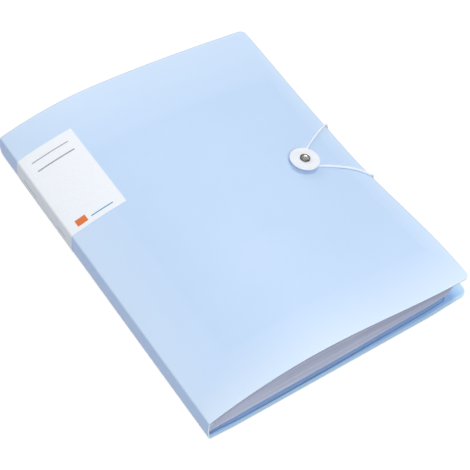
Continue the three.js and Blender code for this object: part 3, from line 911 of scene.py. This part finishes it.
def rounded(r, z, radius, from_degrees, to_degrees, steps=4):
    """Points of a round about (r, z)."""
    angles = np.radians(np.linspace(from_degrees, to_degrees, steps + 1))
    return [(r + radius * math.cos(a), z + radius * math.sin(a)) for a in angles]


def ring(bore, radius, low, high, soft):
    """Profile of a ring whose outer edges are rounded."""
    return [(bore, low), *rounded(radius - soft, low + soft, soft, -90, 0),
            *rounded(radius - soft, high - soft, soft, 0, 90), (bore, high)]


def button():
    at, turn = button_frame()
    collar = ring(SHANK_BORE, COLLAR_RADIUS, COLLAR_LOW, COLLAR_HIGH, COLLAR_SOFT)
    piece = turned("button_neck", collar, (BUTTON,), at, turn, sides=48)
    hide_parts("button_collar")
    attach(piece, "front_cover")

    disc = [(DISC_BORE, DISC_LOW), (6.0, DISC_LOW), (DISC_RADIUS - 1.6, DISC_LOW),
            *rounded(DISC_RADIUS - DISC_ROUND, DISC_LOW + DISC_ROUND, DISC_ROUND, -90, 0),
            *rounded(DISC_RADIUS - DISC_ROUND, DISC_HIGH - DISC_ROUND, DISC_ROUND, 0, 90),
            *((r, DISC_HIGH - depth) for r, depth in DISC_FACE)]
    piece = turned("button_washer_disc", disc, (BUTTON,), at, turn, sides=96)
    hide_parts("button_disc")
    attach(piece, "button")

    rim = [(SHANK, HEAD_LOW), (HEAD_RADIUS - 0.25, HEAD_LOW),
           *rounded(HEAD_RADIUS - HEAD_SOFT, HEAD_LOW + HEAD_SOFT, HEAD_SOFT, -90, 0),
           *rounded(HEAD_RADIUS - HEAD_ROUND, HEAD_HIGH - HEAD_ROUND, HEAD_ROUND, 0, 90, 6),
           *((r, HEAD_HIGH - depth) for r, depth in HEAD_LIP)]
    flange = [(0, FLANGE_LOW), (2.4, FLANGE_LOW),
              *rounded(FLANGE_RADIUS - FLANGE_SOFT, FLANGE_LOW + FLANGE_SOFT, FLANGE_SOFT, -90, 0),
              FLANGE_SHOULDER, (SHANK, BACKING_LOW)]
    rivet = [*flange, *rim, *((r, HEAD_HIGH - depth) for r, depth in HEAD_DISH)]
    # the rim has the darker metal, a painted reflection
    piece = turned("button_rivet", rivet, (METAL, METAL_RIM_PAINTED_REFLECTION), at, turn, second=rim)
    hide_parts("rivet")
    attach(piece, "front_cover")

    washer = ring(SHANK_BORE, BACKING_RADIUS, BACKING_LOW, BACKING_HIGH, BACKING_SOFT)
    piece = turned("button_backing", washer, (METAL,), at, turn, sides=48)
    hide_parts("rivet_washer")
    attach(piece, "front_cover")


# Elastic


def arc(x, z, radius, from_degrees, to_degrees, y):
    """Points of an arc about (x, z) at y."""
    return [np.array((px, y, pz)) for px, pz in rounded(x, z, radius, from_degrees, to_degrees, 8)]


def on_cover(from_button):
    """The cord's middle on the front cover, so far in x and y from the button's axis."""
    x, y = BUTTON_X + from_button[0], BUTTON_Y + from_button[1]
    reach = 0.5
    slope_x = front_slope(min(x, FRONT_WIDTH - reach), y, reach)
    slope_y = (front_top(x, y + reach) - front_top(x, y - reach)) / (2 * reach)
    normal = np.array((-slope_x, -slope_y, 1.0))
    return np.array((x, y, float(front_top(x, y)))) + normal / np.linalg.norm(normal) * CORD_LAYER


def cord_end(side):
    """The cord's way from its stop in the back cover to the fore edge of the front cover."""
    y = BUTTON_Y + HOOKS[side]
    under = float(back_bottom(ANCHOR_X, y))
    edge = float(front_top(FRONT_WIDTH, y))
    slope = float(edge - front_top(FRONT_WIDTH - 1.0, y))
    square = 90 + math.degrees(math.atan(slope))
    bend, wrap = CORD_LAYER + HOLE_BEND, CORD_LAYER + EDGE_BEND
    return [
        np.array((ANCHOR_X, y, under + SHEET + ANCHOR_UP)),
        np.array((ANCHOR_X, y, under + SHEET)),
        *arc(ANCHOR_X + bend, under + bend - CORD_LAYER, bend, 180, 270, y),
        *arc(BACK_WIDTH - 0.1, under + wrap - CORD_LAYER, wrap, -90, 0, y),
        *arc(FRONT_WIDTH, edge - SHEET / 2, CORD_LAYER + SHEET / 2, 0, square, y),
    ]


def through(points, steps=10):
    """A smooth line through points: each stretch is a cubic whose ends follow the neighbours."""
    points = np.array(points, dtype=float)
    ends = np.concatenate([[2 * points[0] - points[1]], points, [2 * points[-1] - points[-2]]])
    line = []
    for before, a, b, after in zip(ends, ends[1:], ends[2:], ends[3:]):
        square = 2 * before - 5 * a + 4 * b - after
        cube = 3 * a - before - 3 * b + after
        for t in np.arange(steps) / steps:
            line.append(0.5 * (2 * a + (b - before) * t + square * t**2 + cube * t**3))
    return line


def cord_route():
    turn = COLLAR_RADIUS + CORD_LAYER

    def on_circle(a):
        return np.array((turn * math.cos(a), turn * math.sin(a)))

    leave, strands = [], []
    for side, hook in enumerate(HOOKS):
        x, y = STRANDS[side][-1]
        to_tangent = math.acos(turn / math.hypot(x, y))
        leave.append(math.atan2(y, x) + (to_tangent if side == 0 else -to_tangent))
        flat = through([(FRONT_WIDTH - BUTTON_X, hook), *STRANDS[side], on_circle(leave[side])])
        strands.append([*cord_end(side), *map(on_cover, flat[1:])])
    sweep = np.linspace(leave[0], leave[1] + 2 * math.pi, LOOP_POINTS)
    loop = [on_cover(on_circle(a)) for a in sweep]
    return np.array([*strands[0], *loop, *strands[1][::-1]])


def evenly(points, step):
    lengths = np.linalg.norm(np.diff(points, axis=0), axis=1)
    lengths = np.concatenate([[0], np.cumsum(lengths)])
    at = np.linspace(0, lengths[-1], int(lengths[-1] / step))
    return np.stack([np.interp(at, lengths, points[:, k]) for k in range(3)], axis=1)


def smoothed(points, reach):
    """Each point becomes the mean of its neighbours, the two ends stay."""
    kernel = np.hanning(2 * reach + 3)[1:-1]
    kernel /= kernel.sum()
    before = 2 * points[0] - points[reach:0:-1]
    after = 2 * points[-1] - points[-2:-reach - 2:-1]
    padded = np.concatenate([before, points, after])
    return np.stack([np.convolve(padded[:, k], kernel, mode="valid") for k in range(3)], axis=1)


def tube(name, path, radius, sides, look):
    """A covered cord: its yarns cross one another and raise its surface."""
    tangents = np.gradient(path, axis=0)
    tangents /= np.linalg.norm(tangents, axis=1, keepdims=True)
    side = np.cross(tangents[0], (0, 1, 0))
    points, net = [], []
    step = np.linalg.norm(path[1] - path[0])
    for k, (p, t) in enumerate(zip(path, tangents)):
        side = side - t * side.dot(t)
        side /= np.linalg.norm(side)
        up = np.cross(t, side)
        for s in range(sides):
            a = 2 * math.pi * s / sides
            twist = k * step * TWIST
            weave = math.cos(YARNS * a + twist) * math.cos(YARNS * a - twist)
            r = radius * (YARN_LOW + YARN_RISE * weave)
            points.append(p + (side * math.cos(a) + up * math.sin(a)) * r)
            net.append((k * step, radius * a))
    last = (len(path) - 1) * sides
    faces = []
    for low in range(0, last, sides):
        for s in range(sides):
            e = (s + 1) % sides
            faces.append((low + s, low + e, low + sides + e, low + sides + s))
    faces.append(tuple(range(sides)))
    faces.append(tuple(last + s for s in range(sides)))
    return make(name, points, faces, (look,), net=net, sharp=60.0)


def elastic():
    path = smoothed(evenly(cord_route(), CORD_STEP), CORD_SMOOTHING)
    piece = tube("elastic", path, CORD, CORD_SIDES, YARN)
    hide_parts("elastic_cord")
    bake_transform(piece)


def elastic_stops():
    """The beads inside the back cover that the elastic's ends go into."""
    for hook, name in zip(HOOKS, ("head", "tail")):
        y = BUTTON_Y + hook
        low = float(back_bottom(ANCHOR_X, y)) + SHEET + STOP_GAP
        bead = [(0, low), (1.6, low), *rounded(1.8, low + 0.35, 0.3, -90, 0),
                *rounded(1.5, low + 1.1, 0.6, 0, 80), (0.6, low + 1.78), (0, low + 1.8)]
        at = np.array((ANCHOR_X, y, 0.0))
        piece = turned("elastic_bead_" + name, bead, (BUTTON,), at, sides=32)
        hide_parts("elastic_stop_" + name)
        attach(piece, "back_cover")


# Stage


def camera():
    azimuth, elevation, roll = map(math.radians, (CAMERA_AZIMUTH, CAMERA_ELEVATION, CAMERA_ROLL))
    across = math.cos(elevation)
    back = Vector((math.sin(azimuth) * across, -math.cos(azimuth) * across, math.sin(elevation)))
    level = Vector((math.cos(azimuth), math.sin(azimuth), 0))
    upright = back.cross(level)
    right = level * math.cos(roll) + upright * math.sin(roll)
    up = upright * math.cos(roll) - level * math.sin(roll)
    data = bpy.data.cameras.new("camera")
    data.sensor_width = SENSOR
    data.lens = FOCAL / PHOTO_SIDE * SENSOR
    data.shift_x = (PHOTO_SIDE / 2 - CENTRE[0]) / PHOTO_SIDE
    data.shift_y = (CENTRE[1] - PHOTO_SIDE / 2) / PHOTO_SIDE
    data.clip_start = 0.01
    obj = bpy.data.objects.new("camera", data)
    axes = Matrix((right, up, back)).transposed().to_4x4()
    at = Vector(place(*CAMERA_AIM)) + back * CAMERA_DISTANCE
    obj.matrix_world = Matrix.Translation(at) @ axes
    bpy.context.scene.collection.objects.link(obj)
    bpy.context.scene.camera = obj


def lights():
    world = bpy.data.worlds.new("world")
    world.use_nodes = True
    background = world.node_tree.nodes["Background"]
    background.inputs["Color"].default_value = (0.97, 0.985, 1.0, 1.0)
    background.inputs["Strength"].default_value = WORLD_STRENGTH
    bpy.context.scene.world = world
    for name, (energy, size, at) in LAMPS.items():
        data = bpy.data.lights.new(name, "AREA")
        data.energy = energy
        data.size = size
        obj = bpy.data.objects.new(name, data)
        obj.location = at
        obj.rotation_euler = (-Vector(at)).to_track_quat("-Z", "Y").to_euler()
        bpy.context.scene.collection.objects.link(obj)


def floor():
    """White floor: the camera and mirrors see it glow white, with a faint shadow by the book."""
    s = Shader("floor_white", Roughness=0.9)
    s.shader.inputs["Base Color"].default_value = (0.52, 0.55, 0.60, 1.0)
    light = s.add("ShaderNodeEmission", Strength=FLOOR_GLOW)
    faint = s.add("ShaderNodeBsdfDiffuse", Color=(FLOOR_FAINT, FLOOR_FAINT, FLOOR_FAINT, 1.0))
    shown = s.add("ShaderNodeAddShader")
    rays = s.add("ShaderNodeLightPath").outputs
    blend = s.add("ShaderNodeMixShader")
    seen = s.highest(rays["Is Camera Ray"], rays["Is Glossy Ray"], rays["Is Transmission Ray"])
    s.link(light.outputs["Emission"], shown.inputs[0])
    s.link(faint.outputs["BSDF"], shown.inputs[1])
    s.link(seen, blend.inputs["Fac"])
    s.link(s.shader.outputs["BSDF"], blend.inputs[1])
    s.link(shown.outputs["Shader"], blend.inputs[2])
    s.link(blend.outputs["Shader"], s.nodes["Material Output"].inputs["Surface"])
    points = [(x * FLOOR_HALF, y * FLOOR_HALF, FLOOR_Z)
              for x, y in ((-1, -1), (1, -1), (1, 1), (-1, 1))]
    make("floor", points, [(0, 1, 2, 3)], (s.material,))


def main():
    camera()
    lights()
    floor()
    cover()
    label()
    prints()
    pockets()
    button()
    elastic()
    elastic_stops()
    strip = frame["nodes"]["binding_strip"]
    strip.data.materials.clear()
    strip.data.materials.append(STRIP)


main()
view = bpy.context.scene.view_settings
view.view_transform = "Standard"
